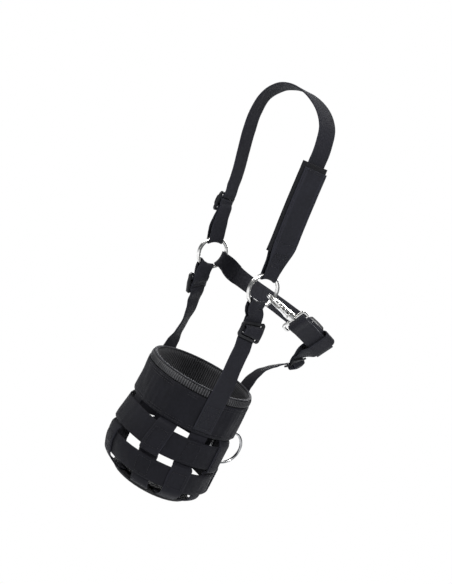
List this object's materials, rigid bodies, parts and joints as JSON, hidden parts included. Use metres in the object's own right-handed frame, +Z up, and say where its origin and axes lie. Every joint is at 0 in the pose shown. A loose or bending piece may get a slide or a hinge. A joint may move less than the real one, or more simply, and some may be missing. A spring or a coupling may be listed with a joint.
{
  "type": "horse grazing muzzle",
  "caption": "Woven webbing basket on a halter-type headstall, with a padded noseband, sliding adjusters, metal rings, a throat snap and a hook-and-loop breakaway tab.",
  "frame": {"origin": "on the ground under the middle of the whole muzzle's bounding box, in the plane of the base's underside", "axes": "+Z up the basket's axis towards the crown strap, -Y towards the nose, +X towards the horse's near (left) side"},
  "size_m": [0.1628, 0.2348, 0.5281],
  "materials": {
    "webbing_black": "woven matte",
    "lining_ribbed": "ribbed satin",
    "rim_binding_grey": "satin",
    "rubber_black": "matte",
    "adjuster_black": "satin",
    "nickel": "polished",
    "hook_tape_black": "napped"
  },
  "bodies": {
    "basket_and_straps": {"upright_front": "webbing_black", "upright_front_near": "webbing_black", "upright_near": "webbing_black", "upright_back_near": "webbing_black", "upright_back": "webbing_black", "upright_back_far": "webbing_black", "upright_far": "webbing_black", "upright_front_far": "webbing_black", "base_disc": "rubber_black", "inner_disc": "webbing_black", "bottom_band": "webbing_black", "middle_band": "webbing_black", "noseband": "webbing_black", "ribbed_lining": "lining_ribbed", "rim_binding": "rim_binding_grey", "near_cheek_strap": "webbing_black", "near_cheek_adjuster": "adjuster_black", "far_cheek_strap": "webbing_black", "far_cheek_adjuster": "adjuster_black", "chin_strap": "webbing_black", "chin_adjuster": "adjuster_black", "throat_strap": "webbing_black", "throat_adjuster": "adjuster_black", "snap_eye": "nickel"},
    "near_ring": {"near_ring": "nickel"},
    "far_ring": {"far_ring": "nickel"},
    "chin_ring": {"chin_ring": "nickel"},
    "crown": {"crown_strap": "webbing_black", "crown_adjuster": "adjuster_black", "hook_pad": "hook_tape_black", "breakaway_tab": "webbing_black"},
    "snap": {"snap_body": "nickel"},
    "snap_bolt": {"snap_bolt": "nickel"}
  },
  "joints": [
    {"name": "crown_swing", "type": "hinge", "parent": "basket_and_straps", "child": "crown", "pos_m": [0.002, -0.054, 0.297], "axis": [1, 0, 0], "range_deg": [-20, 60]},
    {"name": "near_ring_turn", "type": "hinge", "parent": "basket_and_straps", "child": "near_ring", "pos_m": [0.069, -0.054, 0.297], "axis": [1, 0, 0], "continuous": true},
    {"name": "far_ring_turn", "type": "hinge", "parent": "basket_and_straps", "child": "far_ring", "pos_m": [-0.065, -0.054, 0.297], "axis": [1, 0, 0], "continuous": true},
    {"name": "chin_ring_swing", "type": "hinge", "parent": "basket_and_straps", "child": "chin_ring", "pos_m": [0.018, 0.03693, 0.0934], "axis": [1, 0, 0], "range_deg": [-3, 4]},
    {"name": "snap_swivel", "type": "hinge", "parent": "basket_and_straps", "child": "snap", "pos_m": [0.06026, 0.00563, 0.27877], "axis": [-0.202, 0.9366, -0.2863], "range_deg": [-30, 30]},
    {"name": "snap_bolt_slide", "type": "slide", "parent": "snap", "child": "snap_bolt", "axis": [-0.202, 0.9366, -0.2863], "range_m": [0, 0.008], "stiffness_N_per_m": 200, "springref_m": -0.004}
  ]
}
